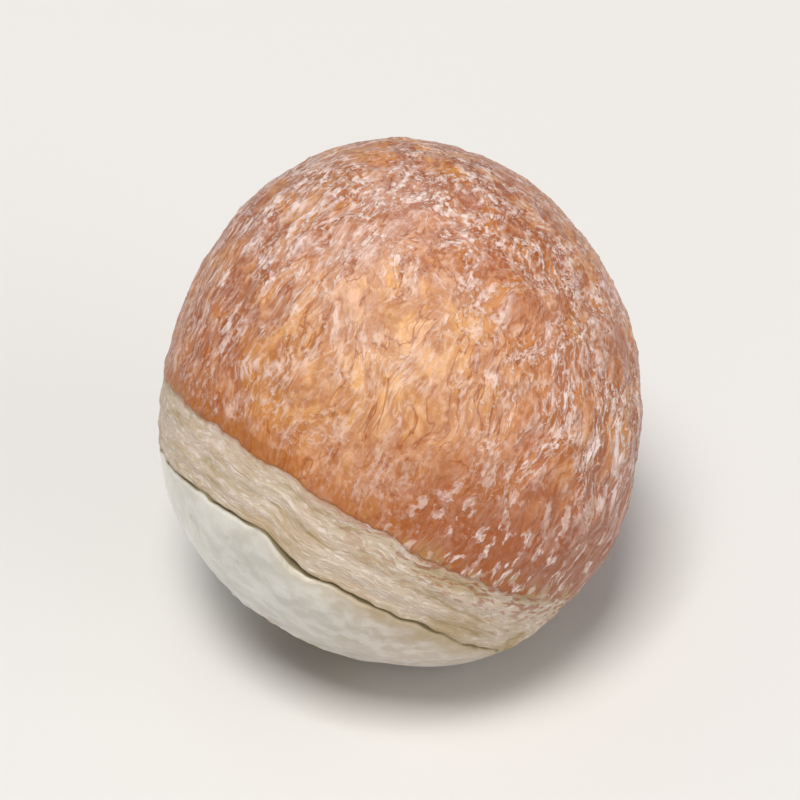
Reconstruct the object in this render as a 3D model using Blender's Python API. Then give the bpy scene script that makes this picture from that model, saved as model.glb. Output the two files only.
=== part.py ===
"""Fox nut: one whole dried kernel of Euryale ferox, at its real size.

Metres, +Z up. The nut lies on a small flat spot in the plane z = 0, centred on the origin, and +X is to its
right when it is seen from -Y. Its own axis runs from the hilum, the scar in the middle of the pale cap, to
the crown of the brown dome. Polar angles are measured from the hilum, and turns go round the axis.
"""

import math

import bmesh
import bpy
from mathutils import Matrix, Vector, noise

MM = 0.001

# Body: a ball drawn out a little along its axis, with the unevenness of a grown thing
LENGTH = 10.0 * MM
WIDTH = 9.4 * MM
SHOULDER_SWELL = 0.11 * MM  # halfway between hilum and waist, and between waist and crown
LEAN = 0.19 * MM  # the cap swells to one side of the axis and the crown to the other
WAIST_SKEW = 0.08 * MM
WAIST_SKEW_TURN = math.radians(29)
SIDE_FLATTENING = 0.06 * MM
CROWN_DRAW = 0.04 * MM
CAP_FLATTENING = 0.22 * MM
CAP_FLATTENING_REACH = math.radians(20)
LUMP_HEIGHT = 0.04 * MM
LUMP_SPACING = 3.2 * MM

# Pose: where the hilum and the swollen side of the cap point as the nut lies
HILUM_AIM = Vector((-0.450, -0.474, -0.757))
SWOLLEN_SIDE_AIM = Vector((0.891, -0.298, -0.343))
REST_SPOT_DEPTH = 0.18 * MM  # how much of the roundness the flat spot takes off

# Brown skin: it covers the dome and ends at an uneven edge, which rises away from the cap on the left
SKIN_ANGLE = math.radians(68.8)
SKIN_EDGE_OVAL = math.radians(0.8)
SKIN_EDGE_WAVE = math.radians(1.5)
SKIN_EDGE_CRESTS = 8
EDGE_RISE = math.radians(3)
EDGE_RISE_START = math.radians(70)
EDGE_RISE_END = math.radians(84)
EDGE_RISE_FADE = math.radians(230)
SKIN_THICKNESS = 0.05 * MM
SKIN_EDGE_SLOPE = 0.12 * MM
WRINKLE_HEIGHT = 0.06 * MM
WRINKLE_SPACING = 1.05 * MM

# Dry band between the skin and the crease, with low ridges along it
BAND_RIDGES = 3
BAND_RIDGE_HEIGHT = 0.018 * MM

# Crease round the waxy cap: it has one jog in front, and on the underside it swings wide of the flat spot
CREASE_ANGLE = math.radians(51)
CREASE_WAVE = math.radians(1.4)
CREASE_CRESTS = 9
CREASE_JOG = math.radians(3)
CREASE_JOG_START = math.radians(98)
CREASE_JOG_END = math.radians(108)
CREASE_JOG_FADE = math.radians(230)
CREASE_SWING = math.radians(10)
CREASE_SWING_TURN = math.radians(-61)
CREASE_SWING_WIDTH = math.radians(50)
CREASE_WIDTH = 0.30 * MM
CREASE_DEPTH = 0.13 * MM
CREASE_UNEVENNESS = 0.35
CREASE_LIP = 0.025 * MM

# Hilum: a rough pit with a lumpy collar round it
PIT_RADIUS = 1.10 * MM
PIT_DEPTH = 0.42 * MM
PIT_WALL = 0.34 * MM
COLLAR_RADIUS = 1.55 * MM
COLLAR_WIDTH = 0.55 * MM
COLLAR_HEIGHT = 0.05 * MM
HILUM_UNEVENNESS = 0.10
HILUM_CRESTS = 11
HILUM_LUMP_HEIGHT = 0.04 * MM
HILUM_LUMP_SPACING = 1.2 * MM

# Mesh: rings round the axis, with points spaced evenly along each
POINT_SPACING = 0.29 * MM
HILUM_POINT_SPACING = 0.20 * MM

# Linear colours, each with its roughness
SKIN_LOOK = ((0.50, 0.20, 0.09, 1), 0.55)
BAND_LOOK = ((0.50, 0.38, 0.24, 1), 0.60)
CAP_LOOK = ((0.66, 0.60, 0.49, 1), 0.40)
HILUM_LOOK = ((0.10, 0.065, 0.045, 1), 0.90)

MEAN_RADIUS = (LENGTH + WIDTH) / 4
COLLAR_ANGLE = (COLLAR_RADIUS + COLLAR_WIDTH) / MEAN_RADIUS


def step_up(start, end, value):
    """0 before start, 1 after end, and a smooth rise between them."""
    part = min(max((value - start) / (end - start), 0.0), 1.0)
    return part * part * (3 - 2 * part)


def hump(width, value):
    """1 at zero, falling off smoothly over this width on both sides."""
    return math.exp(-((value / width) ** 2))


def bumps(place, seed):
    """Smooth noise, mostly between -1 and 1. Each seed gives another pattern."""
    return 1.6 * noise.noise(place + Vector((seed, -seed, 2 * seed)))


def ring_wave(turn, crests, seed):
    """An irregular wave round the axis with about this many crests, mostly between -1 and 1."""
    reach = crests / math.pi
    return bumps(Vector((reach * math.cos(turn), reach * math.sin(turn), 0)), seed)


def uneven_line(turn, crests, seed):
    """Long waves round the axis with shorter ones on them."""
    return 0.7 * ring_wave(turn, crests, seed) + 0.3 * ring_wave(turn, 3 * crests, seed + 0.5)


def direction(polar, turn):
    """Unit vector in the nut's own frame, whose +Z is the hilum."""
    across = math.sin(polar)
    return Vector((across * math.cos(turn), across * math.sin(turn), math.cos(polar)))


def skin_edge(turn):
    """Polar angle at which the brown skin ends."""
    turn = turn % math.tau
    rise = step_up(EDGE_RISE_START, EDGE_RISE_END, turn) - step_up(math.pi, EDGE_RISE_FADE, turn)
    wave = SKIN_EDGE_WAVE * uneven_line(turn, SKIN_EDGE_CRESTS, 3.5)
    return SKIN_ANGLE + SKIN_EDGE_OVAL * math.cos(2 * turn) + EDGE_RISE * rise + wave


def crease(turn):
    """Polar angle of the crease round the cap."""
    turn = turn % math.tau
    from_swing = (turn - CREASE_SWING_TURN + math.pi) % math.tau - math.pi
    swing = CREASE_SWING * hump(CREASE_SWING_WIDTH, from_swing)
    jog = step_up(CREASE_JOG_START, CREASE_JOG_END, turn) - step_up(math.pi, CREASE_JOG_FADE, turn)
    return CREASE_ANGLE + swing + CREASE_JOG * jog + CREASE_WAVE * uneven_line(turn, CREASE_CRESTS, 5.1)


def body_radius(polar, turn):
    """Radius of the plain body, before its skin, crease and hilum."""
    drawn_out = (LENGTH - WIDTH) / 4 * math.cos(2 * polar)
    shoulders = SHOULDER_SWELL * math.sin(2 * polar) ** 2
    lean = LEAN * math.sin(2 * polar) * math.cos(turn)
    skew = -WAIST_SKEW * math.sin(3 * polar) * math.cos(turn + WAIST_SKEW_TURN)
    sides = SIDE_FLATTENING * math.sin(polar) ** 2 * math.cos(2 * turn)
    crown = -CROWN_DRAW * math.cos(3 * polar)
    cap = -CAP_FLATTENING * hump(CAP_FLATTENING_REACH, polar)
    lumps = LUMP_HEIGHT * bumps(direction(polar, turn) * 2 * MEAN_RADIUS / LUMP_SPACING, 4.3)
    return MEAN_RADIUS + drawn_out + shoulders + lean + skew + sides + crown + cap + lumps


def skin_relief(polar, turn):
    """The skin stands proud of the band and carries a raised net of wrinkles."""
    from_edge = (polar - skin_edge(turn)) * MEAN_RADIUS
    thickness = SKIN_THICKNESS * step_up(-SKIN_EDGE_SLOPE / 2, SKIN_EDGE_SLOPE / 2, from_edge)
    place = direction(polar, turn) * MEAN_RADIUS / WRINKLE_SPACING
    net = 0.6 - 1.6 * abs(bumps(place, 0)) - 0.8 * abs(bumps(place * 2, 1.5))
    return thickness + WRINKLE_HEIGHT * net * step_up(0, WRINKLE_SPACING, from_edge)


def band_relief(polar, turn):
    """Low ridges that run along the band, between the crease and the skin."""
    across = (polar - crease(turn)) / (skin_edge(turn) - crease(turn))
    inside = step_up(0.05, 0.25, across) * (1 - step_up(0.8, 0.98, across))
    return BAND_RIDGE_HEIGHT * inside * math.cos(math.tau * BAND_RIDGES * across)


def crease_relief(polar, turn):
    """A narrow groove of uneven depth, with a slight lip on the side of the band."""
    off = (polar - crease(turn)) * MEAN_RADIUS
    depth = CREASE_DEPTH * (1 + CREASE_UNEVENNESS * ring_wave(turn, 2 * CREASE_CRESTS, 6.4))
    return CREASE_LIP * hump(CREASE_WIDTH, off - CREASE_WIDTH) - depth * hump(CREASE_WIDTH / 2, off)


def hilum_relief(polar, turn):
    """The pit with its rough floor, and the lumpy collar."""
    lump = HILUM_LUMP_HEIGHT * bumps(direction(polar, turn) * 2 * MEAN_RADIUS / HILUM_LUMP_SPACING, 2.4)
    reach = polar * MEAN_RADIUS * (1 + HILUM_UNEVENNESS * ring_wave(turn, HILUM_CRESTS, 2.2))
    collar = hump(COLLAR_WIDTH, reach - COLLAR_RADIUS)
    pit = 1 - step_up(PIT_RADIUS - PIT_WALL, PIT_RADIUS + PIT_WALL / 3, reach)
    return collar * (COLLAR_HEIGHT + lump) - pit * (PIT_DEPTH + lump)


def surface_point(polar, turn):
    radius = body_radius(polar, turn) + skin_relief(polar, turn) + band_relief(polar, turn)
    radius += crease_relief(polar, turn) + hilum_relief(polar, turn)
    return direction(polar, turn) * radius


def point_spacing(angle):
    return HILUM_POINT_SPACING if angle <= COLLAR_ANGLE else POINT_SPACING


def ring_angles():
    """Nominal polar angles of the rings. Some lie on the crease, on its sides and on the edge of the skin."""
    half_crease = CREASE_WIDTH / 2 / MEAN_RADIUS
    half_slope = SKIN_EDGE_SLOPE / 2 / MEAN_RADIUS
    stops = [0, COLLAR_ANGLE, CREASE_ANGLE - half_crease, CREASE_ANGLE, CREASE_ANGLE + half_crease]
    stops += [SKIN_ANGLE - half_slope, SKIN_ANGLE + half_slope, math.pi]
    angles = []
    for start, end in zip(stops, stops[1:]):
        count = math.ceil((end - start) * MEAN_RADIUS / point_spacing(end))
        angles += [start + (end - start) * (i + 1) / count for i in range(count)]
    return angles[:-1]


def follow_lines(angle, turn):
    """Shifts a nominal angle so that rings at the crease and the skin's edge follow those uneven lines."""
    marks = [0, COLLAR_ANGLE, CREASE_ANGLE, SKIN_ANGLE, 2 * SKIN_ANGLE, math.pi]
    places = [0, COLLAR_ANGLE, crease(turn), skin_edge(turn), 2 * SKIN_ANGLE, math.pi]
    i = next(i for i in range(1, len(marks)) if angle <= marks[i])
    part = (angle - marks[i - 1]) / (marks[i] - marks[i - 1])
    return places[i - 1] + part * (places[i] - places[i - 1])


def join_rings(bm, inner, outer):
    """Triangles between two rings of points that may differ in number."""
    i = j = 0
    while i < len(inner) or j < len(outer):
        a = inner[i % len(inner)]
        b = outer[j % len(outer)]
        if j == len(outer) or (i < len(inner) and (i + 1) * len(outer) <= (j + 1) * len(inner)):
            i += 1
            bm.faces.new((a, b, inner[i % len(inner)]))
        else:
            j += 1
            bm.faces.new((a, b, outer[j % len(outer)]))


def grow_nut():
    """The whole surface in the nut's own frame, as a bmesh."""
    bm = bmesh.new()
    hilum = bm.verts.new(surface_point(0, 0))
    crown = bm.verts.new(surface_point(math.pi, 0))
    rings = []
    for angle in ring_angles():
        count = max(8, round(math.tau * MEAN_RADIUS * math.sin(angle) / point_spacing(angle)))
        turns = [math.tau * i / count for i in range(count)]
        rings.append([bm.verts.new(surface_point(follow_lines(angle, turn), turn)) for turn in turns])
    for inner, outer in zip(rings, rings[1:]):
        join_rings(bm, inner, outer)
    for end, ring in ((hilum, rings[0]), (crown, rings[-1][::-1])):
        for i in range(len(ring)):
            bm.faces.new((end, ring[i - 1], ring[i]))
    return bm


def colour_faces(bm):
    """Material slots by region: 0 skin, 1 band, 2 cap, 3 hilum."""
    for face in bm.faces:
        middle = face.calc_center_median()
        polar = math.acos(middle.normalized().z)
        turn = math.atan2(middle.y, middle.x)
        bounds = (skin_edge(turn), crease(turn), PIT_RADIUS / MEAN_RADIUS)
        face.material_index = sum(polar < bound for bound in bounds)


def lay_down(bm):
    """Turns the nut to its pose, cuts the flat spot and puts the middle of that spot on the origin."""
    hilum_aim = HILUM_AIM.normalized()
    side_aim = (SWOLLEN_SIDE_AIM - hilum_aim * SWOLLEN_SIDE_AIM.dot(hilum_aim)).normalized()
    pose = Matrix((side_aim, hilum_aim.cross(side_aim), hilum_aim)).transposed()
    bmesh.ops.rotate(bm, verts=bm.verts, matrix=pose)
    floor = (0, 0, min(vert.co.z for vert in bm.verts) + REST_SPOT_DEPTH)
    nut = bm.verts[:] + bm.edges[:] + bm.faces[:]
    cut = bmesh.ops.bisect_plane(bm, geom=nut, plane_co=floor, plane_no=(0, 0, -1), clear_outer=True)
    rim = [item for item in cut["geom_cut"] if isinstance(item, bmesh.types.BMEdge)]
    spot = bmesh.ops.contextual_create(bm, geom=rim)["faces"][0]
    spot.material_index = 2
    bmesh.ops.translate(bm, verts=bm.verts, vec=-spot.calc_center_median())
    bmesh.ops.recalc_face_normals(bm, faces=bm.faces)


def add_material(name, colour, roughness):
    material = bpy.data.materials.new(name)
    material.use_nodes = True
    material.diffuse_color = colour
    shader = material.node_tree.nodes["Principled BSDF"]
    shader.inputs["Base Color"].default_value = colour
    shader.inputs["Roughness"].default_value = roughness
    shader.inputs["Metallic"].default_value = 0.0
    return material


def make_fox_nut():
    bm = grow_nut()
    colour_faces(bm)
    lay_down(bm)
    mesh = bpy.data.meshes.new("fox_nut")
    bm.to_mesh(mesh)
    bm.free()
    mesh.materials.append(add_material("nut_skin", *SKIN_LOOK))
    mesh.materials.append(add_material("nut_band", *BAND_LOOK))
    mesh.materials.append(add_material("nut_cap", *CAP_LOOK))
    mesh.materials.append(add_material("nut_hilum", *HILUM_LOOK))
    mesh.shade_smooth()
    nut = bpy.data.objects.new("fox_nut", mesh)
    bpy.context.scene.collection.objects.link(nut)


for old in list(bpy.data.objects):
    bpy.data.objects.remove(old)
make_fox_nut()
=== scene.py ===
"""Fox nut: the finished looks of one whole dried kernel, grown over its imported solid.

Metres, +Z up. The nut lies on its small flat spot at the origin and is seen from -Y. Its own axis runs from
the hilum, the scar in the middle of the pale cap, to the crown of the brown dome. Polar angles are measured
from the hilum, and turns go round the axis. The materials read places in millimetres along the nut's own
axes: X to the swollen side, Y to the front, and the distance over the surface from the hilum as the third.
"""

import math

import bpy
from mathutils import Matrix, Vector, noise


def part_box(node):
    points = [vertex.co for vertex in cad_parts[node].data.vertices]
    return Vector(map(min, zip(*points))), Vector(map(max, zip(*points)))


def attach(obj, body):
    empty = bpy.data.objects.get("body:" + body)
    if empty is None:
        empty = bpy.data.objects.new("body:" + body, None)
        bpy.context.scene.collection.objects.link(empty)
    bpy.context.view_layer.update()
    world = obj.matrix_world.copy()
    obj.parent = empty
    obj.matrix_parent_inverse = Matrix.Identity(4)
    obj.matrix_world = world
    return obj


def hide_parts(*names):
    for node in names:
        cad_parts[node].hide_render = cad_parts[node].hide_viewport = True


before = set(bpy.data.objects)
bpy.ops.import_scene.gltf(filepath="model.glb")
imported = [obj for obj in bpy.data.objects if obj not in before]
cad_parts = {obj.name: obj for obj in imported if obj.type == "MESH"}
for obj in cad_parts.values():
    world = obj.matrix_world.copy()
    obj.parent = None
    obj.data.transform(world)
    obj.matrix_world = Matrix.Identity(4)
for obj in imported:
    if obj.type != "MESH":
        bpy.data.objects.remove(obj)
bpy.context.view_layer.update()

bl_info = {
    "name": "Fox nut",
    "version": (1, 0, 0),
    "blender": (4, 5, 0),
    "location": "3D View > Sidebar > Fox nut",
    "description": "Grows a whole dried fox nut kernel over its solid, and lights it on a pale floor",
    "category": "Add Mesh",
}

MM = 0.001
CAD_LOW, CAD_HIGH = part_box("fox_nut")
CAD_MIDDLE = (CAD_LOW + CAD_HIGH) / 2
RESTING_HEIGHT = CAD_HIGH.z - CAD_LOW.z

# Body: the same drawn-out ball as the solid
LENGTH = 0.9965 * RESTING_HEIGHT
WIDTH = 0.94 * LENGTH
MEAN_RADIUS = (LENGTH + WIDTH) / 4
SHOULDER_SWELL = 0.011 * LENGTH
LEAN = 0.019 * LENGTH
WAIST_SKEW = 0.008 * LENGTH
WAIST_SKEW_TURN = math.radians(29)
SIDE_FLATTENING = 0.006 * LENGTH
CROWN_DRAW = 0.004 * LENGTH
CAP_FLATTENING = 0.022 * LENGTH
CAP_FLATTENING_REACH = math.radians(20)
LUMP_HEIGHT = 0.004 * LENGTH
LUMP_SPACING = 0.32 * LENGTH

# Pose on the floor
HILUM_AIM = Vector((-0.450, -0.474, -0.757))
SWOLLEN_SIDE_AIM = Vector((0.891, -0.298, -0.343))
REST_SPOT_DEPTH = 0.018 * LENGTH
REST_SPOT_ROUNDING = 0.004 * MM

# Brown skin
SKIN_ANGLE = math.radians(68.8)
SKIN_EDGE_OVAL = math.radians(0.8)
SKIN_EDGE_WAVE = math.radians(1.5)
SKIN_EDGE_CRESTS = 8
EDGE_RISE = math.radians(3)
EDGE_RISE_START = math.radians(70)
EDGE_RISE_END = math.radians(84)
EDGE_RISE_FADE = math.radians(230)
SKIN_EDGE_CHIPS = math.radians(0.5)
SKIN_EDGE_CHIP_COUNT = 64
SKIN_EDGE_SLOPE = 0.06 * MM
SKIN_EDGE_CURL = 0.008 * MM
SKIN_EDGE_CURL_WIDTH = 0.11 * MM
SWELL_SPACING = 1.05 * MM
FOLD_LEVEL = 0.6
LARGE_FOLD_SHARE = 1.6
SMALL_FOLD_SHARE = 0.8
WRINKLE_STRETCH = 0.50
WRINKLE_WANDER = 0.34
WRINKLE_WANDER_SCALE = 0.6
WRINKLE_RAGGEDNESS = 0.45
WRINKLE_RAGGEDNESS_SCALE = 2.1
WRINKLE_SHARE = 0.30
WRINKLE_PATCH_SCALE = 0.85
WRINKLE_MEAN_TONE = 0.4
MINOR_WRINKLE_SCALE = 1.5
MINOR_WRINKLE_TONE = 0.75

# Dry band
BAND_RIDGES = 3
BAND_RIDGE_CRESTS = 9
BAND_RIDGE_HEIGHT = 0.012 * MM
BAND_FIBRE_HEIGHT = 0.009 * MM
BAND_FIBRE_LENGTH = 1.1
BAND_FIBRE_SPACING = 0.12
BAND_FLAKE_HEIGHT = 0.009 * MM
BAND_FLAKE_SPACING = 0.21
BAND_FIBRE_TONE = 0.35
BAND_FLAKE_TONE = 0.2

# Crease round the waxy cap
CREASE_ANGLE = math.radians(51)
CREASE_WAVE = math.radians(1.4)
CREASE_CRESTS = 9
CREASE_WIGGLE = math.radians(0.45)
CREASE_WIGGLE_CRESTS = 37
CREASE_JOG = math.radians(3)
CREASE_JOG_START = math.radians(98)
CREASE_JOG_END = math.radians(108)
CREASE_JOG_FADE = math.radians(230)
CREASE_SWING = math.radians(10)
CREASE_SWING_TURN = math.radians(-61)
CREASE_SWING_WIDTH = math.radians(50)
CREASE_UNEVENNESS = 0.45
CREASE_GAPE = 0.8
CREASE_GAPE_TURN = math.radians(98)
CREASE_GAPE_WIDTH = math.radians(6)
CREASE_LEAST_DEPTH = 0.12
CREASE_MOUTH = 1.6
CREASE_SHARPNESS = 1.3
CREASE_LIP = 0.010 * MM
CREASE_CAP_LIP = 0.3 * CREASE_LIP
CREASE_LIP_LIMIT = 8
CREASE_REACH = 0.24 * MM

# Waxy cap
CAP_SWELL_HEIGHT = 0.007 * MM
CAP_SWELL_SPACING = 0.75
CAP_DIMPLE_DEPTH = 0.007 * MM
CAP_DIMPLE_SPACING = 0.33
CAP_DIMPLE_EDGES = (0.35, 0.8)

# Hilum
PIT_WALL = 0.34 * MM
COLLAR_RADIUS = 1.50 * MM
COLLAR_WIDTH = 0.45 * MM
HILUM_UNEVENNESS = 0.10
HILUM_CRESTS = 11
HILUM_NICKS = 0.3 * HILUM_UNEVENNESS
HILUM_NICK_CRESTS = 4 * HILUM_CRESTS
HILUM_LUMP_HEIGHT = 0.04 * MM
HILUM_LUMP_SPACING = 1.2
CRUMB_HEIGHT = 0.055 * MM
CRUMB_SPACING = 0.28
CRUMB_TONE = 0.45
CHIP_HEIGHT = 0.035 * MM
CHIP_SPACING = 0.42
CHIP_TONE = 0.35
COLLAR_ANGLE = (COLLAR_RADIUS + COLLAR_WIDTH) / MEAN_RADIUS
HILUM_LIMIT = 1.5 * COLLAR_ANGLE

# Tone of a place that is neither high nor low
MIDDLE_TONE = 0.5

# Mesh: how far apart the rings and the points along them are
SKIN_SPACING = 0.0585 * MM
BAND_SPACING = 0.056 * MM
CAP_SPACING = 0.075 * MM
HILUM_SPACING = 0.052 * MM
LINE_SPACING = 0.028 * MM

# Where the nut's lines lie, as the materials read them: mm from the middle of the hilum
CREASE_MARK = CREASE_ANGLE * MEAN_RADIUS / MM
SKIN_MARK = SKIN_ANGLE * MEAN_RADIUS / MM
COLLAR_MARK = 1.22

# Middles of the painted highlight in front and of the dustiest skin, as the materials read them
PAINTED_HIGHLIGHT_PLACE = (-0.6, 4.8, 8.8)
DUSTY_PLACE = (-2.8, 2.7, 10.7)

# How patterns are drawn out: strokes from crown to rim on the skin, fibres along the band
STROKE_DRAW = (1.0, 1.0, 0.30)
PATCH_DRAW = (1.0, 1.0, 0.55)
STROKE_WANDER = 0.9
FIBRE_DRAW = (1.0, 1.0, 7.0)
STAIN_DRAW = (1.0, 1.0, 3.0)

# Depth of the finest relief, which the materials give
SKIN_GRAIN_DEPTH = 0.018 * MM
BAND_GRAIN_DEPTH = 0.014 * MM
CAP_GRAIN_DEPTH = 0.008 * MM
HILUM_GRAIN_DEPTH = 0.030 * MM

# Camera and light
CAMERA_RISE = math.radians(41)
CAMERA_LENS = 180
CAMERA_SENSOR = 36
CAMERA_NEAR = MM
CAMERA_REACH = 10
NUT_SHARE_OF_VIEW = 0.64
FLOOR_SIDE = 4.0
FLOOR_ROUGHNESS = 0.7
SKY_COLOUR = (0.95, 0.97, 1.0, 1)
SKY_STRENGTH = 0.34

# Lamps: name, direction from the nut, distance, side, power and colour
LAMPS = (
    ("overhead", (-0.12, -0.30, 0.94), 0.9, 0.32, 7.5, (1.0, 0.985, 0.96)),
    ("right", (0.80, -0.45, 0.42), 1.1, 0.8, 2.9, (1.0, 0.98, 0.96)),
    ("front_left", (-0.55, -0.75, 0.30), 1.1, 0.8, 0.5, (0.98, 0.99, 1.0)),
)


def length_setting(name, description, default):
    """A length in the panel, in metres."""
    return bpy.props.FloatProperty(
        name=name,
        description=description,
        default=default,
        min=0,
        precision=6,
        subtype="DISTANCE",
        unit="LENGTH",
    )


def colour_setting(name, description, default):
    """A colour in the panel, with its alpha."""
    return bpy.props.FloatVectorProperty(
        name=name, description=description, default=default, size=4, min=0, max=1, subtype="COLOR"
    )


class FoxNutSizes(bpy.types.PropertyGroup):
    """Sizes of the nut's details."""

    skin_thickness: length_setting("Skin thickness", "How proud the skin stands of the band", 0.035 * MM)
    swell_height: length_setting("Swell height", "Height of the broad net of folds in the skin", 0.038 * MM)
    wrinkle_height: length_setting("Wrinkle height", "Height of the fine wrinkles in the skin", 0.022 * MM)
    wrinkle_spacing: length_setting("Wrinkle spacing", "Distance between the fine wrinkles", 0.38 * MM)
    crease_width: length_setting("Crease width", "Width of the crack round the cap", 0.10 * MM)
    crease_depth: length_setting("Crease depth", "Depth of the crack round the cap", 0.09 * MM)
    pit_radius: length_setting("Pit radius", "Radius of the dark pit of the hilum", 1.10 * MM)
    pit_depth: length_setting("Pit depth", "Depth of the pit below the cap", 0.42 * MM)
    collar_height: length_setting("Collar height", "Height of the lumpy collar round the pit", 0.04 * MM)


class FoxNutColours(bpy.types.PropertyGroup):
    """Colours of the nut's finishes."""

    skin: colour_setting("Skin", "Main orange brown of the skin", (0.60, 0.250, 0.055, 1))
    skin_red: colour_setting("Skin, redder", "Patches of redder skin", (0.50, 0.165, 0.044, 1))
    # The golden front is a painted highlight: lighter, yellower skin where the broad highlight falls.
    skin_painted_highlight: colour_setting("Skin, golden", "Golden front of the dome", (0.76, 0.410, 0.155, 1))
    skin_dusty: colour_setting("Skin, dusty", "Dull pinkish patches of the skin", (0.62, 0.345, 0.215, 1))
    # Skin, deep is also painted as shade on both sides and low on the swollen side.
    skin_deep: colour_setting("Skin, deep", "Hollows and hairlines of the skin", (0.29, 0.066, 0.012, 1))
    skin_rim: colour_setting("Skin, rim", "Deep orange line along the skin's edge", (0.37, 0.120, 0.014, 1))
    bloom: colour_setting("Bloom", "Pale streaks on the wrinkles", (0.83, 0.665, 0.610, 1))
    band: colour_setting("Band", "Dry band under the skin's edge", (0.525, 0.395, 0.285, 1))
    band_ochre: colour_setting("Band, ochre", "Fibres and stains of the band", (0.42, 0.295, 0.135, 1))
    band_pale: colour_setting("Band, pale", "Pale flecks of the band", (0.71, 0.61, 0.54, 1))
    crease: colour_setting("Crease", "Inside of the crack round the cap", (0.22, 0.165, 0.070, 1))
    cap: colour_setting("Cap", "Waxy cap", (0.74, 0.725, 0.660, 1))
    # Cap, darker is partly painted shade, faint at the end away from the swollen side.
    cap_shade: colour_setting("Cap, darker", "Cloudy patches of the cap", (0.50, 0.485, 0.43, 1))
    cap_chalk: colour_setting("Cap, chalky", "Dry whitish film on the cap", (0.80, 0.775, 0.745, 1))
    # Cap, tan is partly painted shade toward the swollen side.
    cap_tan: colour_setting("Cap, tan", "Browner side of the cap", (0.515, 0.405, 0.315, 1))
    collar: colour_setting("Collar", "Ochre collar of the hilum", (0.52, 0.34, 0.13, 1))
    hilum: colour_setting("Hilum", "Dark floor of the hilum", (0.050, 0.034, 0.026, 1))
    hilum_fleck: colour_setting("Hilum flecks", "Pale grey crumbs on the hilum", (0.36, 0.33, 0.29, 1))
    floor: colour_setting("Floor", "Pale floor under the nut", (0.70, 0.685, 0.66, 1))


def step_up(start, end, value):
    """0 before start, 1 after end, and a smooth rise between them."""
    part = min(max((value - start) / (end - start), 0.0), 1.0)
    return part * part * (3 - 2 * part)


def hump(width, value):
    """1 at zero, falling off smoothly over this width on both sides."""
    return math.exp(-((value / width) ** 2))


def bumps(place, seed):
    """Smooth noise, mostly between -1 and 1. Each seed gives another pattern, the same in each run."""
    return 1.6 * noise.noise(place + Vector((seed, -seed, 2 * seed)))


def thin_line(value, width):
    """1 where the value is 0, falling to 0 at this width on both sides."""
    return step_up(0, 1, 1 - abs(value) / width)


def ring_wave(turn, crests, seed):
    """An irregular wave round the axis with about this many crests, mostly between -1 and 1."""
    reach = crests / math.pi
    return bumps(Vector((reach * math.cos(turn), reach * math.sin(turn), 0)), seed)


def uneven_line(turn, crests, seed):
    """Long waves round the axis with shorter ones on them."""
    return 0.7 * ring_wave(turn, crests, seed) + 0.3 * ring_wave(turn, 3 * crests, seed + 0.5)


def direction(polar, turn):
    """Unit vector in the nut's own frame, whose +Z is the hilum."""
    across = math.sin(polar)
    return Vector((across * math.cos(turn), across * math.sin(turn), math.cos(polar)))


def skin_edge(turn):
    """Polar angle at which the brown skin ends, with its small chips."""
    turn = turn % math.tau
    rise = step_up(EDGE_RISE_START, EDGE_RISE_END, turn) - step_up(math.pi, EDGE_RISE_FADE, turn)
    wave = SKIN_EDGE_WAVE * uneven_line(turn, SKIN_EDGE_CRESTS, 3.5)
    chips = SKIN_EDGE_CHIPS * uneven_line(turn, SKIN_EDGE_CHIP_COUNT, 8.2)
    return SKIN_ANGLE + SKIN_EDGE_OVAL * math.cos(2 * turn) + EDGE_RISE * rise + wave + chips


def crease_line(turn):
    """Polar angle of the crease round the cap."""
    turn = turn % math.tau
    from_swing = (turn - CREASE_SWING_TURN + math.pi) % math.tau - math.pi
    swing = CREASE_SWING * hump(CREASE_SWING_WIDTH, from_swing)
    jog = step_up(CREASE_JOG_START, CREASE_JOG_END, turn) - step_up(math.pi, CREASE_JOG_FADE, turn)
    wave = CREASE_WAVE * uneven_line(turn, CREASE_CRESTS, 5.1)
    wiggle = CREASE_WIGGLE * ring_wave(turn, CREASE_WIGGLE_CRESTS, 7.7)
    return CREASE_ANGLE + swing + CREASE_JOG * jog + wave + wiggle


def body_radius(aim, polar, turn):
    """Radius of the plain body, before its skin, crease and hilum."""
    drawn_out = (LENGTH - WIDTH) / 4 * math.cos(2 * polar)
    shoulders = SHOULDER_SWELL * math.sin(2 * polar) ** 2
    lean = LEAN * math.sin(2 * polar) * math.cos(turn)
    skew = -WAIST_SKEW * math.sin(3 * polar) * math.cos(turn + WAIST_SKEW_TURN)
    sides = SIDE_FLATTENING * math.sin(polar) ** 2 * math.cos(2 * turn)
    crown = -CROWN_DRAW * math.cos(3 * polar)
    cap = -CAP_FLATTENING * hump(CAP_FLATTENING_REACH, polar)
    lumps = LUMP_HEIGHT * bumps(aim * 2 * MEAN_RADIUS / LUMP_SPACING, 4.3)
    return MEAN_RADIUS + drawn_out + shoulders + lean + skew + sides + crown + cap + lumps


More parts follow.
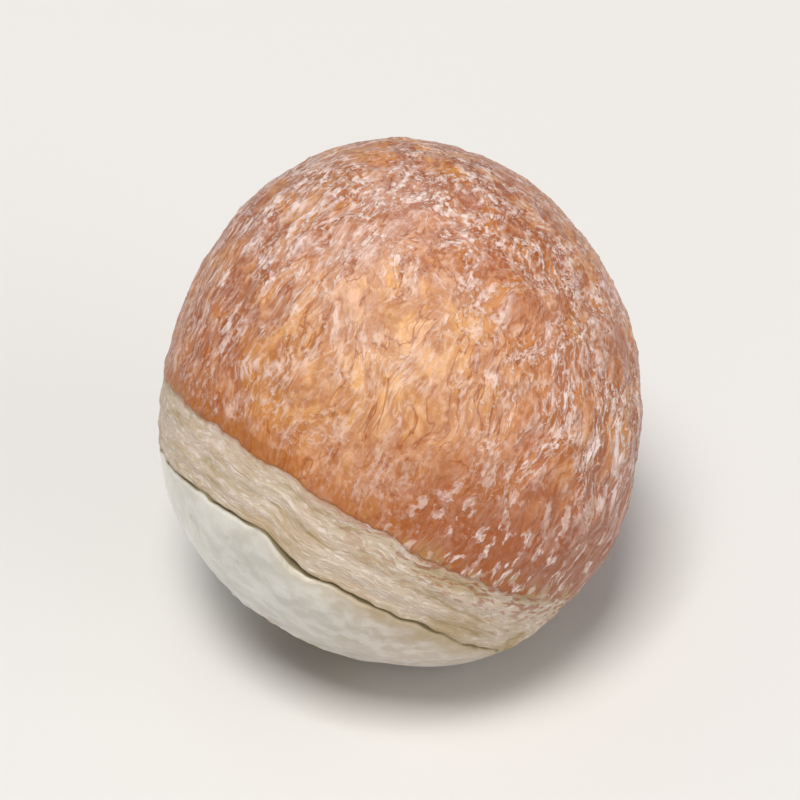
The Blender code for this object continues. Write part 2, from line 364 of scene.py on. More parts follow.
class KernelShape:
    """The finished surface for one set of sizes.

    Each relief gives a height in metres. Most also give a tone from 0, low, to 1, high, for the materials.
    """

    def __init__(self, sizes):
        self.skin_thickness = sizes.skin_thickness
        self.swell_height = sizes.swell_height
        self.wrinkle_height = sizes.wrinkle_height
        self.wrinkle_spacing = sizes.wrinkle_spacing / MM
        self.crease_half_width = sizes.crease_width / 2
        self.crease_depth = sizes.crease_depth
        self.pit_radius = sizes.pit_radius
        self.pit_depth = sizes.pit_depth
        self.collar_height = sizes.collar_height

    def wrinkles(self, place):
        """Tone of short winding wrinkles, which run mostly from crown to rim, coarser and finer in turn."""
        drawn = Vector((place.x, place.y, place.z * WRINKLE_STRETCH)) / self.wrinkle_spacing
        wander = [bumps(drawn * WRINKLE_WANDER_SCALE, seed) for seed in (2.7, 12.3, 21.9)]
        drawn += WRINKLE_WANDER * Vector(wander)
        ragged = WRINKLE_RAGGEDNESS * bumps(drawn * WRINKLE_RAGGEDNESS_SCALE, 1.7)
        patches = bumps(drawn * WRINKLE_PATCH_SCALE, 9.1)
        main = thin_line(bumps(drawn, 6.6) + ragged, WRINKLE_SHARE)
        main *= step_up(-0.45, 0.10, patches)
        minor = thin_line(bumps(drawn * MINOR_WRINKLE_SCALE, 3.3) + ragged, WRINKLE_SHARE)
        minor *= step_up(0.45, -0.10, patches)
        return max(main, MINOR_WRINKLE_TONE * minor)

    def skin(self, place, from_edge):
        """The skin's thickness, which curls up along its edge, with broad folds and fine wrinkles."""
        cover = step_up(-SKIN_EDGE_SLOPE / 2, SKIN_EDGE_SLOPE / 2, from_edge)
        if cover == 0:
            return 0.0, 0.0
        curl = SKIN_EDGE_CURL * hump(SKIN_EDGE_CURL_WIDTH, from_edge - SKIN_EDGE_CURL_WIDTH)
        fold_place = place * MM / SWELL_SPACING
        large_folds = LARGE_FOLD_SHARE * abs(bumps(fold_place, 0))
        small_folds = SMALL_FOLD_SHARE * abs(bumps(fold_place * 2, 1.5))
        folds = FOLD_LEVEL - large_folds - small_folds
        tone = self.wrinkles(place)
        fade = step_up(0, SKIN_EDGE_CURL_WIDTH, from_edge)
        height = self.skin_thickness * cover + curl
        height += self.swell_height * folds * step_up(0, SWELL_SPACING, from_edge)
        return height + self.wrinkle_height * (tone - WRINKLE_MEAN_TONE) * fade, tone * fade

    def band(self, place, angle, turn):
        """Low ridges, fine fibres along the band, and small flakes."""
        across = (angle - CREASE_ANGLE) / (SKIN_ANGLE - CREASE_ANGLE)
        inside = step_up(0.03, 0.2, across) * step_up(1.0, 0.9, across)
        if inside == 0:
            return 0.0, MIDDLE_TONE
        along = Vector((place.x, place.y, 0)) / BAND_FIBRE_LENGTH
        along.z = angle * MEAN_RADIUS / MM / BAND_FIBRE_SPACING
        fibres = 0.7 * bumps(along, 1.2) + 0.3 * bumps(along * 1.9, 5.8)
        flakes = bumps(place / BAND_FLAKE_SPACING, 2.9)
        ridge_turn = math.tau * BAND_RIDGES * across + ring_wave(turn, BAND_RIDGE_CRESTS, 4.8)
        height = BAND_RIDGE_HEIGHT * math.cos(ridge_turn)
        height += BAND_FIBRE_HEIGHT * fibres + BAND_FLAKE_HEIGHT * flakes
        tone = BAND_FIBRE_TONE * fibres + BAND_FLAKE_TONE * flakes
        return inside * height, MIDDLE_TONE + inside * tone

    def crease(self, off, turn):
        """The crack, of uneven depth and width, with a slight lip on both sides, and its painted shade,
        darker where the crack is deeper.
        """
        if abs(off) > CREASE_LIP_LIMIT * self.crease_half_width:
            return 0.0, 0.0
        gape = 1 + CREASE_GAPE * hump(CREASE_GAPE_WIDTH, turn - CREASE_GAPE_TURN)
        depth = 1 + 2 * CREASE_UNEVENNESS * ring_wave(turn, 2 * CREASE_CRESTS, 6.4)
        depth = self.crease_depth * gape * max(CREASE_LEAST_DEPTH, depth)
        half_width = 1 + CREASE_UNEVENNESS * ring_wave(turn, CREASE_WIGGLE_CRESTS, 1.9)
        half_width *= self.crease_half_width * gape
        crack = max(0.0, 1 - abs(off) / (CREASE_MOUTH * half_width)) ** CREASE_SHARPNESS
        lip = CREASE_LIP * hump(2.2 * half_width, off - 2.4 * half_width)
        cap_lip = CREASE_CAP_LIP * hump(1.8 * half_width, off + 2.2 * half_width)
        # Painted shade: the crack's colour is darker where it is deeper.
        crease_shade = step_up(0, 0.6, crack) * step_up(0, 0.8 * self.crease_depth, depth)
        return lip + cap_lip - depth * crack, crease_shade

    def cap(self, place, off):
        """Broad shallow swells and soft dimples."""
        inside = step_up(0, -3 * self.crease_half_width, off)
        if inside == 0:
            return 0.0
        swells = CAP_SWELL_HEIGHT * bumps(place / CAP_SWELL_SPACING, 7.3)
        dimples = CAP_DIMPLE_DEPTH * step_up(*CAP_DIMPLE_EDGES, bumps(place / CAP_DIMPLE_SPACING, 0.7))
        return inside * (swells - dimples)

    def hilum(self, place, polar, turn):
        """The crumbly pit and its chipped collar, with the uneven distance from the middle of the pit."""
        outline = HILUM_UNEVENNESS * ring_wave(turn, HILUM_CRESTS, 2.2)
        outline += HILUM_NICKS * ring_wave(turn, HILUM_NICK_CRESTS, 9.4)
        reach = polar * MEAN_RADIUS * (1 + outline)
        if polar > HILUM_LIMIT:
            return 0.0, MIDDLE_TONE, reach
        lump = HILUM_LUMP_HEIGHT * bumps(place / HILUM_LUMP_SPACING, 2.4)
        collar = hump(COLLAR_WIDTH, reach - COLLAR_RADIUS)
        pit = 1 - step_up(self.pit_radius - PIT_WALL, self.pit_radius + PIT_WALL / 3, reach)
        crumbs = 0.65 * bumps(place / CRUMB_SPACING, 3.7) + 0.35 * bumps(place / CRUMB_SPACING * 2.1, 5.2)
        chips = 1 - 2.2 * abs(bumps(place / CHIP_SPACING, 8.8))
        height = collar * (self.collar_height + lump) - pit * (self.pit_depth + lump)
        height += pit * CRUMB_HEIGHT * crumbs + collar * (1 - pit) * CHIP_HEIGHT * chips
        tone = MIDDLE_TONE + pit * CRUMB_TONE * crumbs + collar * (1 - pit) * CHIP_TONE * chips
        return height, tone, reach

    def point(self, angle, turn):
        """One point of the surface, with its tone and its reach from the hilum."""
        edge = skin_edge(turn)
        crease = crease_line(turn)
        polar = follow_lines(angle, crease, edge)
        aim = direction(polar, turn)
        place = aim * MEAN_RADIUS / MM
        from_edge = (polar - edge) * MEAN_RADIUS
        off = (polar - crease) * MEAN_RADIUS
        skin_height, skin_tone = self.skin(place, from_edge)
        band_height, band_tone = self.band(place, angle, turn)
        hilum_height, hilum_tone, reach = self.hilum(place, polar, turn)
        radius = body_radius(aim, polar, turn) + skin_height + band_height + hilum_height
        crease_height, crease_shade = self.crease(off, turn)
        radius += crease_height + self.cap(place, off)
        tone = skin_tone if from_edge > 0 else band_tone if off > 0 else hilum_tone
        # The tone carries the crease's painted shade to the materials.
        return aim * radius, tone * (1 - crease_shade), reach


def follow_lines(angle, crease, edge):
    """Shifts a nominal angle so that rings at the crease and the skin's edge follow those uneven lines."""
    marks = (0, COLLAR_ANGLE, CREASE_ANGLE, SKIN_ANGLE, 2 * SKIN_ANGLE, math.pi)
    places = (0, COLLAR_ANGLE, crease, edge, 2 * SKIN_ANGLE, math.pi)
    i = next(number for number, mark in enumerate(marks) if number > 0 and angle <= mark)
    part = (angle - marks[i - 1]) / (marks[i] - marks[i - 1])
    return places[i - 1] + part * (places[i] - places[i - 1])


def ring_angles():
    """Nominal polar angle of each ring, with the spacing of its points. They crowd at the two lines."""
    near_crease = CREASE_REACH / MEAN_RADIUS
    near_edge = (SKIN_EDGE_SLOPE + SKIN_EDGE_CURL_WIDTH) / MEAN_RADIUS
    below_edge = SKIN_EDGE_SLOPE / MEAN_RADIUS
    stretches = (
        (COLLAR_ANGLE, HILUM_SPACING, HILUM_SPACING),
        (CREASE_ANGLE - near_crease, CAP_SPACING, CAP_SPACING),
        (CREASE_ANGLE, LINE_SPACING, BAND_SPACING),
        (CREASE_ANGLE + near_crease, LINE_SPACING, BAND_SPACING),
        (SKIN_ANGLE - below_edge, BAND_SPACING, BAND_SPACING),
        (SKIN_ANGLE, LINE_SPACING, BAND_SPACING),
        (SKIN_ANGLE + near_edge, LINE_SPACING, BAND_SPACING),
        (math.pi, SKIN_SPACING, SKIN_SPACING),
    )
    rings = []
    start = 0
    for end, ring_spacing, point_spacing in stretches:
        count = math.ceil((end - start) * MEAN_RADIUS / ring_spacing)
        rings += [(start + (end - start) * (i + 1) / count, point_spacing) for i in range(count)]
        start = end
    return rings[:-1]


def join_rings(inner, outer):
    """Triangles between two rings of point numbers that may differ in length."""
    triangles = []
    i = j = 0
    while i < len(inner) or j < len(outer):
        a = inner[i % len(inner)]
        b = outer[j % len(outer)]
        if j == len(outer) or (i < len(inner) and (i + 1) * len(outer) <= (j + 1) * len(inner)):
            i += 1
            triangles.append((a, b, inner[i % len(inner)]))
        else:
            j += 1
            triangles.append((a, b, outer[j % len(outer)]))
    return triangles


def finish_of(angle, reach, shape):
    """Number of a face's material: 0 skin, 1 band, 2 cap, 3 hilum."""
    if angle > SKIN_ANGLE - SKIN_EDGE_SLOPE / 2 / MEAN_RADIUS:
        return 0
    if angle > CREASE_ANGLE:
        return 1
    return 2 if reach > shape.pit_radius else 3


def lay_down(points):
    """Turns the nut to its pose, presses its flat spot flat, and sets it in the solid's place."""
    hilum_aim = HILUM_AIM.normalized()
    side_aim = (SWOLLEN_SIDE_AIM - hilum_aim * SWOLLEN_SIDE_AIM.dot(hilum_aim)).normalized()
    pose = Matrix((side_aim, hilum_aim.cross(side_aim), hilum_aim)).transposed()
    laid = [pose @ point for point in points]
    floor = min(point.z for point in laid) + REST_SPOT_DEPTH
    middle_x = (min(point.x for point in laid) + max(point.x for point in laid)) / 2
    middle_y = (min(point.y for point in laid) + max(point.y for point in laid)) / 2
    shift = Vector((CAD_MIDDLE.x - middle_x, CAD_MIDDLE.y - middle_y, CAD_LOW.z - floor))
    for point in laid:
        above = point.z - floor
        if above < -REST_SPOT_ROUNDING:
            point.z = floor
        elif above < REST_SPOT_ROUNDING:
            point.z = floor + (above + REST_SPOT_ROUNDING) ** 2 / (4 * REST_SPOT_ROUNDING)
        point += shift
    return laid


def grow_kernel(shape):
    """The closed mesh of the whole nut, with the values that its materials read."""
    points, places, tones, reaches, finishes, triangles = [], [], [], [], [], []

    def add_point(angle, turn):
        """Adds one point and gives its number."""
        point, tone, reach = shape.point(angle, turn)
        points.append(point)
        places.append((point.x / MM, point.y / MM, angle * MEAN_RADIUS / MM))
        tones.append(tone)
        reaches.append(reach / MM)
        return len(points) - 1

    def add_faces(new_triangles, angle):
        """Adds triangles that lie about this nominal angle, each with its material."""
        for triangle in new_triangles:
            triangles.append(triangle)
            reach = sum(reaches[i] for i in triangle) / 3 * MM
            finishes.append(finish_of(angle, reach, shape))

    inner = [add_point(0, 0)]
    inner_angle = 0
    for angle, spacing in ring_angles():
        count = max(8, round(math.tau * MEAN_RADIUS * math.sin(angle) / spacing))
        outer = [add_point(angle, math.tau * i / count) for i in range(count)]
        if len(inner) == 1:
            add_faces([(inner[0], outer[i - 1], outer[i]) for i in range(count)], angle / 2)
        else:
            add_faces(join_rings(inner, outer), (inner_angle + angle) / 2)
        inner, inner_angle = outer, angle
    crown = add_point(math.pi, 0)
    add_faces([(crown, inner[i], inner[i - 1]) for i in range(len(inner))], math.pi)

    mesh = bpy.data.meshes.new("fox_nut_surface")
    mesh.from_pydata(lay_down(points), [], triangles)
    mesh.polygons.foreach_set("material_index", finishes)
    mesh.attributes.new("nut_place", "FLOAT_VECTOR", "POINT").data.foreach_set(
        "vector", [number for place in places for number in place]
    )
    mesh.attributes.new("nut_tone", "FLOAT", "POINT").data.foreach_set("value", tones)
    mesh.attributes.new("nut_reach", "FLOAT", "POINT").data.foreach_set("value", reaches)
    mesh.shade_smooth()
    mesh.validate()
    return mesh


def add_node(tree, kind, inputs=(), **settings):
    """A new node with these settings. An input given as another node's output is linked to it."""
    node = tree.nodes.new(kind)
    for name, value in settings.items():
        setattr(node, name, value)
    for name, value in dict(inputs).items():
        if isinstance(value, bpy.types.NodeSocket):
            tree.links.new(value, node.inputs[name])
        else:
            node.inputs[name].default_value = value
    return node


def calculate(tree, operation, *values):
    """One step of arithmetic with numbers."""
    return add_node(tree, "ShaderNodeMath", enumerate(values), operation=operation).outputs[0]


def calculate_places(tree, operation, *values):
    """One step of arithmetic with places."""
    return add_node(tree, "ShaderNodeVectorMath", enumerate(values), operation=operation).outputs[0]


def product(tree, *values):
    """All the values, multiplied."""
    result = values[0]
    for value in values[1:]:
        result = calculate(tree, "MULTIPLY", result, value)
    return result


def lessen(tree, value, mask, share):
    """The value, less this share of it where the mask is 1."""
    return product(tree, value, calculate(tree, "MULTIPLY_ADD", mask, -share, 1.0))


def remap(tree, value, low, high, to_low=0.0, to_high=1.0):
    """A smooth step of the value between two limits."""
    inputs = {"Value": value, "From Min": low, "From Max": high, "To Min": to_low, "To Max": to_high}
    return add_node(tree, "ShaderNodeMapRange", inputs, interpolation_type="SMOOTHSTEP").outputs[0]


def blend_values(tree, share, first, second):
    """The first value, and as much of the second as the share says."""
    inputs = {0: share, 2: first, 3: second}
    return add_node(tree, "ShaderNodeMix", inputs, data_type="FLOAT").outputs[0]


def strongest(tree, *weighted_masks):
    """The highest of several masks, each with its strength."""
    highest = None
    for mask, strength in weighted_masks:
        weighted = product(tree, mask, strength)
        highest = weighted if highest is None else calculate(tree, "MAXIMUM", highest, weighted)
    return highest


def paint(tree, colour, *layers):
    """A colour under layers of others. Each layer has its mask, its colour and its strength."""
    for mask, layer, strength in layers:
        inputs = {0: product(tree, mask, strength), 6: colour, 7: layer}
        colour = add_node(tree, "ShaderNodeMix", inputs, data_type="RGBA").outputs[2]
    return colour


def attribute(tree, name):
    """What the mesh says of each place under this name."""
    return add_node(tree, "ShaderNodeAttribute", attribute_name=name).outputs


def parts_of(tree, place, mark):
    """How far a place is to the swollen side, to the front, and beyond this mark from the hilum, in mm."""
    parts = add_node(tree, "ShaderNodeSeparateXYZ", {0: place}).outputs
    return parts["X"], parts["Y"], calculate(tree, "SUBTRACT", parts["Z"], mark)


def closeness(tree, place, middle, far, near):
    """1 within the near distance of a point, falling to 0 at the far one, in mm."""
    node = add_node(tree, "ShaderNodeVectorMath", {0: place, 1: middle}, operation="DISTANCE")
    return remap(tree, node.outputs["Value"], far, near)


def noise_node(tree, place, scale, detail, distortion=0.0):
    """Smooth noise with this many bumps to the millimetre."""
    inputs = {"Vector": place, "Scale": scale, "Detail": detail, "Distortion": distortion}
    return add_node(tree, "ShaderNodeTexNoise", inputs).outputs


def wandering(tree, place, amount):
    """Places shifted by up to about half this many mm, so that what is drawn out along them wavers."""
    shift = noise_node(tree, place, 0.6, detail=1.0)["Color"]
    return calculate_places(tree, "MULTIPLY_ADD", shift, (amount, amount, amount), place)


def line_at_zero(tree, distance, half_width):
    """1 where the distance is 0, falling to 0 at this half width on both sides."""
    return remap(tree, calculate(tree, "ABSOLUTE", distance), 0.0, half_width, 1.0, 0.0)


def patches_of(tree, cloud, coverage, softness):
    """Patches cut out of a cloud, which cover about this share of the surface."""
    limit = calculate(tree, "SUBTRACT", 1.0, coverage)
    low = calculate(tree, "SUBTRACT", limit, softness)
    high = calculate(tree, "ADD", limit, softness)
    return remap(tree, cloud, low, high)


def start_group(name, defaults, output):
    """An empty node group that takes a place and these numbers, and gives one number."""
    group = bpy.data.node_groups.new(name, "ShaderNodeTree")
    group.interface.new_socket("Place", in_out="INPUT", socket_type="NodeSocketVector")
    for label, default in defaults.items():
        socket = group.interface.new_socket(label, in_out="INPUT", socket_type="NodeSocketFloat")
        socket.default_value = default
    group.interface.new_socket(output, in_out="OUTPUT", socket_type="NodeSocketFloat")
    return group, group.nodes.new("NodeGroupInput").outputs, group.nodes.new("NodeGroupOutput").inputs


def build_veins_group():
    """Node group: short winding lines, such as wrinkles, fibres and cracks."""
    defaults = {"Lines per mm": 2.0, "Width": 0.05, "Coverage": 0.5}
    group, given, result = start_group("Broken veins", defaults, "Veins")
    fine = noise_node(group, given["Place"], given["Lines per mm"], detail=3.0, distortion=0.3)["Fac"]
    line = line_at_zero(group, calculate(group, "SUBTRACT", fine, 0.5), given["Width"])
    patch_scale = product(group, given["Lines per mm"], 0.62)
    cloud = noise_node(group, given["Place"], patch_scale, detail=1.0)["Fac"]
    kept = patches_of(group, cloud, given["Coverage"], softness=0.06)
    group.links.new(product(group, line, kept), result["Veins"])


def build_mottle_group():
    """Node group: cloudy patches."""
    defaults = {"Patches per mm": 1.0, "Coverage": 0.5, "Softness": 0.12}
    group, given, result = start_group("Mottle", defaults, "Patches")
    cloud = noise_node(group, given["Place"], given["Patches per mm"], detail=4.0, distortion=0.08)["Fac"]
    patches = patches_of(group, cloud, given["Coverage"], given["Softness"])
    group.links.new(patches, result["Patches"])


def build_grain_group():
    """Node group: fine height of a dry surface, for a Bump node."""
    group, given, result = start_group("Grain", {"Grains per mm": 10.0, "Pits": 0.3}, "Height")
    rough = noise_node(group, given["Place"], given["Grains per mm"], detail=4.0)["Fac"]
    pit_scale = product(group, given["Grains per mm"], 0.45)
    cloud = noise_node(group, given["Place"], pit_scale, detail=1.0)["Fac"]
    sunk = product(group, remap(group, cloud, 0.30, 0.42, 1.0, 0.0), given["Pits"])
    group.links.new(calculate(group, "SUBTRACT", rough, sunk), result["Height"])


def build_line_group():
    """Node group: a ragged line where a distance is near zero, such as a crack or a stained rim."""
    defaults = {"Distance": 0.0, "Half width": 0.1, "Raggedness": 0.1}
    group, given, result = start_group("Ragged line", defaults, "Line")
    cloud = noise_node(group, given["Place"], 3.5, detail=3.0)["Fac"]
    sway = calculate(group, "SUBTRACT", cloud, 0.5)
    moved = calculate(group, "MULTIPLY_ADD", sway, given["Raggedness"], given["Distance"])
    group.links.new(line_at_zero(group, moved, given["Half width"]), result["Line"])


def use_group(tree, name, place, numbers):
    """Places a shared node group, and gives its only output."""
    inputs = {"Place": place, **numbers}
    return add_node(tree, "ShaderNodeGroup", inputs, node_tree=bpy.data.node_groups[name]).outputs[0]


def add_veins(tree, place, per_mm, width, coverage):
    """Mask of short winding lines."""
    numbers = {"Lines per mm": per_mm, "Width": width, "Coverage": coverage}
    return use_group(tree, "Broken veins", place, numbers)


def add_mottle(tree, place, per_mm, coverage, softness):
    """Mask of cloudy patches."""
    numbers = {"Patches per mm": per_mm, "Coverage": coverage, "Softness": softness}
    return use_group(tree, "Mottle", place, numbers)


def add_grain(tree, place, per_mm, pits):
    """Fine height, from about 0 to 1."""
    return use_group(tree, "Grain", place, {"Grains per mm": per_mm, "Pits": pits})


def add_line(tree, place, distance, half_width, raggedness):
    """Mask of a ragged line where the distance is near zero."""
    numbers = {"Distance": distance, "Half width": half_width, "Raggedness": raggedness}
    return use_group(tree, "Ragged line", place, numbers)


def add_crack(tree, place, tone, from_crease):
    """The dark line of the crease: its own colour, faint in places, and painted shade, widest where the
    crack is deep.
    """
    line = add_line(tree, place, from_crease, half_width=0.065, raggedness=0.07)
    gaps = add_mottle(tree, place, per_mm=1.1, coverage=0.68, softness=0.14)
    thin = product(tree, line, blend_values(tree, gaps, 0.25, 1.0))
    nearness = remap(tree, calculate(tree, "ABSOLUTE", from_crease), 0.26, 0.18)
    # Painted shade where the tone says the crack is deep.
    deep = product(tree, remap(tree, tone, 0.28, 0.08), nearness)
    return calculate(tree, "MAXIMUM", thin, deep)


def start_material(name):
    """An empty material, and what the mesh says of each place."""
    material = bpy.data.materials.new(name)
    material.use_nodes = True
    tree = material.node_tree
    return material, tree, attribute(tree, "nut_place")["Vector"], attribute(tree, "nut_tone")["Fac"]


def finish_material(tree, colour, roughness, height, depth, others=()):
    """Joins the colour, roughness and fine relief to the shader, and sets its other inputs."""
    shader = tree.nodes["Principled BSDF"]
    bump = add_node(tree, "ShaderNodeBump", {"Strength": 1.0, "Distance": depth, "Height": height})
    tree.links.new(colour, shader.inputs["Base Color"])
    tree.links.new(roughness, shader.inputs["Roughness"])
    tree.links.new(bump.outputs["Normal"], shader.inputs["Normal"])
    for name, value in dict(others).items():
        shader.inputs[name].default_value = value


class SkinRegions:
    """Masks of the skin's regions, which several layers of its material share."""

    def __init__(self, tree, place):
        self.side, front, self.from_edge = parts_of(tree, place, SKIN_MARK)
        # Painted highlight: the lighter, yellower front, where the broad highlight falls.
        self.painted_highlight = closeness(tree, place, PAINTED_HIGHLIGHT_PLACE, 3.9, 0.6)
        self.dusty = closeness(tree, place, DUSTY_PLACE, 3.6, 0.6)
        self.far_side = remap(tree, front, 1.2, -2.2)
        # Painted shade: the skin is darker on both sides along the nut's own X, toward the limbs.
        self.shaded_flanks = remap(tree, calculate(tree, "ABSOLUTE", self.side), 1.8, 4.6)
        self.crown = remap(tree, self.from_edge, 4.5, 8.0)
        # Deeper, redder blotches near the skin's edge, strongest on the swollen side: partly the skin's own
        # colour, partly painted shade where that side turns under.
        low = remap(tree, self.from_edge, 3.2, 0.6)
        blotches = add_mottle(tree, place, per_mm=1.9, coverage=0.74, softness=0.12)
        self.near_edge = product(tree, low, remap(tree, self.side, -1.2, 2.2, 0.1, 1.0), blotches)
        lowest = remap(tree, self.from_edge, 2.6, 0.3)
        self.warm = product(tree, lowest, remap(tree, self.side, 3.5, -2.0, 0.6, 1.0))
        rim = add_line(tree, place, self.from_edge, half_width=0.55, raggedness=0.95)
        rim = remap(tree, rim, 0.10, 0.60)
        self.rim = product(tree, rim, remap(tree, self.side, 3.0, -2.5, 0.30, 1.0))


def skin_ground(colours, tree, place, drawn, tone, regions):
    """Colour of the skin under its relief and bloom: a yellower painted highlight in front, painted shade
    on both sides, and deeper low down, partly its own colour and partly painted shade.
    """
    patches = add_mottle(tree, place, per_mm=0.45, coverage=0.5, softness=0.16)
    haze = add_mottle(tree, drawn, per_mm=1.3, coverage=0.46, softness=0.08)
    hollows = add_mottle(tree, drawn, per_mm=2.1, coverage=0.54, softness=0.08)
    # The deep hollows are stronger on the crown and, as painted shade, on both sides.
    deeper = calculate(tree, "MAXIMUM", regions.crown, regions.shaded_flanks)
    low_places = product(tree, lessen(tree, hollows, tone, 0.7), blend_values(tree, deeper, 0.52, 0.95))
    low_places = lessen(tree, low_places, regions.far_side, 0.40)
    film = add_mottle(tree, place, per_mm=0.9, coverage=0.5, softness=0.16)
    film = product(tree, film, blend_values(tree, regions.dusty, 0.06, 0.26))
    return paint(
        tree,
        colours.skin,
        (patches, colours.skin_red, 1.0),
        # Painted highlight: yellower, lighter skin in front.
        (regions.painted_highlight, colours.skin_painted_highlight, 0.85),
        (haze, colours.skin_dusty, 0.40),
        # Painted shade on both sides.
        (regions.shaded_flanks, colours.skin_deep, 0.15),
        (low_places, colours.skin_deep, 1.0),
        # Partly the skin's own deeper colour, partly painted shade low on the swollen side.
        (regions.near_edge, colours.skin_deep, 0.95),
        (film, colours.bloom, 1.0),
        (regions.warm, colours.skin_rim, 0.30),
        (regions.rim, colours.skin_rim, 0.85),
    )


def skin_bloom(tree, place, long_drawn, drawn, tone, regions):
    """Mask of the pale strokes, threads and specks, thinnest along the skin's edge."""
    ridges = remap(tree, tone, 0.25, 0.95)
    strokes = add_mottle(tree, long_drawn, per_mm=5.2, coverage=0.435, softness=0.045)
    dashes = add_mottle(tree, long_drawn, per_mm=11.0, coverage=0.44, softness=0.05)
    threads = add_veins(tree, drawn, per_mm=3.4, width=0.030, coverage=0.55)
    specks = add_mottle(tree, place, per_mm=7.0, coverage=0.38, softness=0.04)
    pale = strongest(tree, (ridges, 0.50), (strokes, 0.76), (dashes, 0.58), (threads, 0.50), (specks, 0.68))
    scuffs = add_mottle(tree, drawn, per_mm=1.5, coverage=0.55, softness=0.12)
    cover = remap(tree, regions.from_edge, 0.0, 0.14)
    pale = product(tree, pale, blend_values(tree, scuffs, 0.20, 1.0), cover)
    for mask, share in (
        (regions.near_edge, 0.80),
        (regions.rim, 0.55),
        # Less bloom under the painted highlight.
        (regions.warm, 0.40),
        (regions.painted_highlight, 0.45),
        (regions.far_side, 0.28),
        (remap(tree, regions.side, 2.2, 4.4), -0.25),
    ):
        pale = lessen(tree, pale, mask, share)
    flecks = add_mottle(tree, drawn, per_mm=4.4, coverage=0.43, softness=0.04)
    to_side = remap(tree, regions.side, 0.8, 3.0, 0.62, 1.0)
    flecks = product(tree, flecks, to_side, regions.near_edge, 0.74)
    return lessen(tree, calculate(tree, "MAXIMUM", pale, flecks), regions.dusty, -0.15)


def skin_material(colours):
    """Orange brown skin with hairlines, pale bloom, and an ochre worn edge."""
    material, tree, place, tone = start_material("nut_skin")
    regions = SkinRegions(tree, place)
    wavering = wandering(tree, place, STROKE_WANDER)
    long_drawn = calculate_places(tree, "MULTIPLY", wavering, STROKE_DRAW)
    drawn = calculate_places(tree, "MULTIPLY", wavering, PATCH_DRAW)
    grain = add_grain(tree, drawn, per_mm=12.0, pits=0.4)
    raised = remap(tree, grain, 0.28, 0.62)
    # Fewer dark grains under the painted highlight.
    sunken = lessen(tree, calculate(tree, "SUBTRACT", 1.0, raised), regions.painted_highlight, 0.40)
    hairlines = add_veins(tree, long_drawn, per_mm=2.6, width=0.030, coverage=0.55)
    pale = skin_bloom(tree, place, long_drawn, drawn, tone, regions)
    pale = product(tree, pale, blend_values(tree, raised, 0.45, 1.15))
    worn = add_mottle(tree, drawn, per_mm=3.4, coverage=0.48, softness=0.05)
    at_edge = remap(tree, regions.from_edge, 0.60, 0.0)
    worn = product(tree, worn, at_edge, remap(tree, regions.side, -0.5, 3.0))
    colour = paint(
        tree,
        skin_ground(colours, tree, place, drawn, tone, regions),
        (sunken, colours.skin_deep, 0.38),
        (hairlines, colours.skin_deep, 0.75),
        (pale, colours.bloom, 1.0),
        (worn, colours.band_ochre, 0.60),
    )
    roughness = blend_values(tree, pale, 0.42, 0.68)
    height = calculate(tree, "MULTIPLY_ADD", pale, 1.3, grain)
    others = {
        "Specular IOR Level": 0.32,
        "Sheen Weight": 0.22,
        "Sheen Roughness": 0.25,
        "Sheen Tint": (1.0, 0.94, 0.95, 1),
    }
    finish_material(tree, colour, roughness, height, SKIN_GRAIN_DEPTH, others)
    return material


def band_material(colours):
    """Dry greyish band with ochre grooves and fibres along it, and the crease at its foot."""
    material, tree, place, tone = start_material("nut_band")
    along = calculate_places(tree, "MULTIPLY", place, FIBRE_DRAW)
    partly_along = calculate_places(tree, "MULTIPLY", place, STAIN_DRAW)
    side, _, from_edge = parts_of(tree, place, SKIN_MARK)
    from_crease = parts_of(tree, place, CREASE_MARK)[2]
    stains = add_mottle(tree, partly_along, per_mm=0.8, coverage=0.5, softness=0.12)
    seams = add_veins(tree, along, per_mm=0.42, width=0.080, coverage=0.60)
    fibres = add_veins(tree, along, per_mm=0.9, width=0.034, coverage=0.56)
    hairs = add_veins(tree, along, per_mm=2.0, width=0.045, coverage=0.50)
    # Low places of the band turn ochre; near the crease this also paints the crease's shade.
    low = remap(tree, tone, 0.45, 0.1)
    grain = add_grain(tree, partly_along, per_mm=7.0, pits=0.4)
    pits = remap(tree, grain, 0.52, 0.22)
    grooves = strongest(tree, (seams, 0.95), (fibres, 0.75), (hairs, 0.45), (low, 0.5), (pits, 0.40))
    flecks = add_mottle(tree, partly_along, per_mm=4.6, coverage=0.44, softness=0.04)
    clusters = add_mottle(tree, partly_along, per_mm=0.9, coverage=0.55, softness=0.12)
    flecks = product(tree, flecks, blend_values(tree, clusters, 0.2, 1.0))
    pale = strongest(tree, (flecks, 0.85), (clusters, 0.42), (remap(tree, tone, 0.6, 0.95), 0.4))
    spill = add_mottle(tree, partly_along, per_mm=3.8, coverage=0.46, softness=0.05)
    at_edge = remap(tree, from_edge, -1.1, -0.05)
    spill = product(tree, spill, at_edge, remap(tree, side, -1.5, 3.0, 0.2, 1.0))
    rim = add_line(tree, place, from_edge, half_width=0.13, raggedness=0.12)
    shade = add_line(tree, place, from_crease, half_width=0.30, raggedness=0.35)
    colour = paint(
        tree,
        colours.band,
        (remap(tree, side, -1.0, 3.5), colours.band_ochre, 0.25),
        (stains, colours.band_ochre, 0.45),
        (grooves, colours.band_ochre, 1.0),
        (seams, colours.crease, 0.40),
        (pale, colours.band_pale, 1.0),
        (spill, colours.skin_deep, 0.75),
        (rim, colours.skin_deep, 0.5),
        (shade, colours.band_ochre, 0.35),
        (add_crack(tree, place, tone, from_crease), colours.crease, 0.9),
    )
    roughness = blend_values(tree, pale, 0.66, 0.48)
    height = calculate(tree, "MULTIPLY_ADD", grooves, -0.8, grain)
    finish_material(tree, colour, roughness, height, BAND_GRAIN_DEPTH)
    return material


